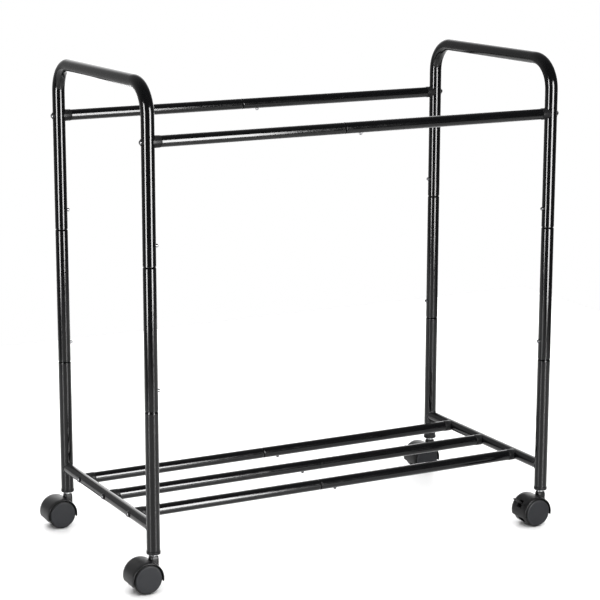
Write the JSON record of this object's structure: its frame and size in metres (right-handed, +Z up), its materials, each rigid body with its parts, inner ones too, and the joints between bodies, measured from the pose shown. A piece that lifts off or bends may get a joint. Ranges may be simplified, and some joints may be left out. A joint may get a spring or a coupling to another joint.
{
  "type": "rolling clothes rack",
  "caption": "Low rolling clothes rack with handle hoops at both ends, upper hanging rails, a slatted lower shelf and hooded twin-wheel casters.",
  "frame": {"origin": "floor level, at the middle of the bounding box in X and Y", "axes": "+X along the rails with the casters trailing to -X, +Y from front to rear, +Z up"},
  "size_m": [0.8081, 0.4168, 0.8297],
  "materials": {
    "black_enamel": "semi-gloss black powder coat on steel tube",
    "black_plastic": "satin black moulded nylon",
    "grey_plastic": "satin charcoal moulded nylon",
    "steel": "bright zinc-plated steel"
  },
  "bodies": {
    "frame": {"hoop_left": "black_enamel", "hoop_right": "black_enamel", "base_frame_left": "black_enamel", "base_frame_right": "black_enamel", "mid_post_left_front": "black_enamel", "mid_post_left_rear": "black_enamel", "mid_post_right_front": "black_enamel", "mid_post_right_rear": "black_enamel", "upper_rail_front_left": "black_enamel", "upper_rail_front_right": "black_enamel", "upper_rail_rear_left": "black_enamel", "upper_rail_rear_right": "black_enamel", "lower_rail_front_left": "black_enamel", "lower_rail_front_right": "black_enamel", "lower_rail_middle_left": "black_enamel", "lower_rail_middle_right": "black_enamel", "lower_rail_rear_left": "black_enamel", "lower_rail_rear_right": "black_enamel", "stem_socket_left_front": "black_plastic", "stem_socket_left_rear": "black_plastic", "stem_socket_right_front": "black_plastic", "stem_socket_right_rear": "black_plastic", "caster_stem_left_front": "steel", "caster_stem_left_rear": "steel", "caster_stem_right_front": "steel", "caster_stem_right_rear": "steel"},
    "hood_left_front": {"caster_hood_left_front": "black_plastic", "axle_left_front": "steel"},
    "wheel_left_front_front": {"wheel_left_front_front": "grey_plastic"},
    "wheel_left_front_rear": {"wheel_left_front_rear": "grey_plastic"},
    "hood_left_rear": {"caster_hood_left_rear": "black_plastic", "axle_left_rear": "steel"},
    "wheel_left_rear_front": {"wheel_left_rear_front": "grey_plastic"},
    "wheel_left_rear_rear": {"wheel_left_rear_rear": "grey_plastic"},
    "hood_right_front": {"caster_hood_right_front": "black_plastic", "axle_right_front": "steel"},
    "wheel_right_front_front": {"wheel_right_front_front": "grey_plastic"},
    "wheel_right_front_rear": {"wheel_right_front_rear": "grey_plastic"},
    "brake_lever_right_front": {"brake_lever_right_front": "black_plastic"},
    "hood_right_rear": {"caster_hood_right_rear": "black_plastic", "axle_right_rear": "steel"},
    "wheel_right_rear_front": {"wheel_right_rear_front": "grey_plastic"},
    "wheel_right_rear_rear": {"wheel_right_rear_rear": "grey_plastic"},
    "brake_lever_right_rear": {"brake_lever_right_rear": "black_plastic"},
    "snap_button_low_left_front": {"snap_button_low_left_front": "steel"},
    "snap_button_low_left_rear": {"snap_button_low_left_rear": "steel"},
    "snap_button_low_right_front": {"snap_button_low_right_front": "steel"},
    "snap_button_low_right_rear": {"snap_button_low_right_rear": "steel"},
    "snap_button_high_left_front": {"snap_button_high_left_front": "steel"},
    "snap_button_high_left_rear": {"snap_button_high_left_rear": "steel"},
    "snap_button_high_right_front": {"snap_button_high_right_front": "steel"},
    "snap_button_high_right_rear": {"snap_button_high_right_rear": "steel"},
    "snap_button_upper_rail_front": {"snap_button_upper_rail_front": "steel"},
    "snap_button_upper_rail_rear": {"snap_button_upper_rail_rear": "steel"},
    "snap_button_lower_rail_front": {"snap_button_lower_rail_front": "steel"},
    "snap_button_lower_rail_middle": {"snap_button_lower_rail_middle": "steel"},
    "snap_button_lower_rail_rear": {"snap_button_lower_rail_rear": "steel"}
  },
  "joints": [
    {"name": "swivel_left_front", "type": "hinge", "parent": "frame", "child": "hood_left_front", "pos_m": [-0.3575, -0.186, 0.05], "axis": [0, 0, 1], "continuous": true},
    {"name": "roll_left_front_front", "type": "hinge", "parent": "hood_left_front", "child": "wheel_left_front_front", "pos_m": [-0.3755, -0.2007, 0.025], "axis": [0, 1, 0], "continuous": true},
    {"name": "roll_left_front_rear", "type": "hinge", "parent": "hood_left_front", "child": "wheel_left_front_rear", "pos_m": [-0.3755, -0.1713, 0.025], "axis": [0, 1, 0], "continuous": true},
    {"name": "swivel_left_rear", "type": "hinge", "parent": "frame", "child": "hood_left_rear", "pos_m": [-0.3575, 0.186, 0.05], "axis": [0, 0, 1], "continuous": true},
    {"name": "roll_left_rear_front", "type": "hinge", "parent": "hood_left_rear", "child": "wheel_left_rear_front", "pos_m": [-0.3755, 0.1713, 0.025], "axis": [0, 1, 0], "continuous": true},
    {"name": "roll_left_rear_rear", "type": "hinge", "parent": "hood_left_rear", "child": "wheel_left_rear_rear", "pos_m": [-0.3755, 0.2007, 0.025], "axis": [0, 1, 0], "continuous": true},
    {"name": "swivel_right_front", "type": "hinge", "parent": "frame", "child": "hood_right_front", "pos_m": [0.3925, -0.186, 0.05], "axis": [0, 0, 1], "continuous": true},
    {"name": "roll_right_front_front", "type": "hinge", "parent": "hood_right_front", "child": "wheel_right_front_front", "pos_m": [0.3745, -0.2007, 0.025], "axis": [0, 1, 0], "continuous": true},
    {"name": "roll_right_front_rear", "type": "hinge", "parent": "hood_right_front", "child": "wheel_right_front_rear", "pos_m": [0.3745, -0.1713, 0.025], "axis": [0, 1, 0], "continuous": true},
    {"name": "brake_right_front", "type": "hinge", "parent": "hood_right_front", "child": "brake_lever_right_front", "pos_m": [0.3745, -0.186, 0.025], "axis": [0, -1, 0], "range_deg": [0, 10]},
    {"name": "swivel_right_rear", "type": "hinge", "parent": "frame", "child": "hood_right_rear", "pos_m": [0.3925, 0.186, 0.05], "axis": [0, 0, 1], "continuous": true},
    {"name": "roll_right_rear_front", "type": "hinge", "parent": "hood_right_rear", "child": "wheel_right_rear_front", "pos_m": [0.3745, 0.1713, 0.025], "axis": [0, 1, 0], "continuous": true},
    {"name": "roll_right_rear_rear", "type": "hinge", "parent": "hood_right_rear", "child": "wheel_right_rear_rear", "pos_m": [0.3745, 0.2007, 0.025], "axis": [0, 1, 0], "continuous": true},
    {"name": "brake_right_rear", "type": "hinge", "parent": "hood_right_rear", "child": "brake_lever_right_rear", "pos_m": [0.3745, 0.186, 0.025], "axis": [0, -1, 0], "range_deg": [0, 10]},
    {"name": "press_low_left_front", "type": "slide", "parent": "frame", "child": "snap_button_low_left_front", "axis": [-1, 0, 0], "range_m": [0, 0.006], "stiffness_N_per_m": 800, "springref_m": -0.002},
    {"name": "press_low_left_rear", "type": "slide", "parent": "frame", "child": "snap_button_low_left_rear", "axis": [-1, 0, 0], "range_m": [0, 0.006], "stiffness_N_per_m": 800, "springref_m": -0.002},
    {"name": "press_low_right_front", "type": "slide", "parent": "frame", "child": "snap_button_low_right_front", "axis": [1, 0, 0], "range_m": [0, 0.006], "stiffness_N_per_m": 800, "springref_m": -0.002},
    {"name": "press_low_right_rear", "type": "slide", "parent": "frame", "child": "snap_button_low_right_rear", "axis": [1, 0, 0], "range_m": [0, 0.006], "stiffness_N_per_m": 800, "springref_m": -0.002},
    {"name": "press_high_left_front", "type": "slide", "parent": "frame", "child": "snap_button_high_left_front", "axis": [-1, 0, 0], "range_m": [0, 0.006], "stiffness_N_per_m": 800, "springref_m": -0.002},
    {"name": "press_high_left_rear", "type": "slide", "parent": "frame", "child": "snap_button_high_left_rear", "axis": [-1, 0, 0], "range_m": [0, 0.006], "stiffness_N_per_m": 800, "springref_m": -0.002},
    {"name": "press_high_right_front", "type": "slide", "parent": "frame", "child": "snap_button_high_right_front", "axis": [1, 0, 0], "range_m": [0, 0.006], "stiffness_N_per_m": 800, "springref_m": -0.002},
    {"name": "press_high_right_rear", "type": "slide", "parent": "frame", "child": "snap_button_high_right_rear", "axis": [1, 0, 0], "range_m": [0, 0.006], "stiffness_N_per_m": 800, "springref_m": -0.002},
    {"name": "press_upper_rail_front", "type": "slide", "parent": "frame", "child": "snap_button_upper_rail_front", "axis": [0, 0, 1], "range_m": [0, 0.0055], "stiffness_N_per_m": 800, "springref_m": -0.002},
    {"name": "press_upper_rail_rear", "type": "slide", "parent": "frame", "child": "snap_button_upper_rail_rear", "axis": [0, 0, 1], "range_m": [0, 0.0055], "stiffness_N_per_m": 800, "springref_m": -0.002},
    {"name": "press_lower_rail_front", "type": "slide", "parent": "frame", "child": "snap_button_lower_rail_front", "axis": [0, 0, 1], "range_m": [0, 0.0055], "stiffness_N_per_m": 800, "springref_m": -0.002},
    {"name": "press_lower_rail_middle", "type": "slide", "parent": "frame", "child": "snap_button_lower_rail_middle", "axis": [0, 0, 1], "range_m": [0, 0.0055], "stiffness_N_per_m": 800, "springref_m": -0.002},
    {"name": "press_lower_rail_rear", "type": "slide", "parent": "frame", "child": "snap_button_lower_rail_rear", "axis": [0, 0, 1], "range_m": [0, 0.0055], "stiffness_N_per_m": 800, "springref_m": -0.002}
  ]
}
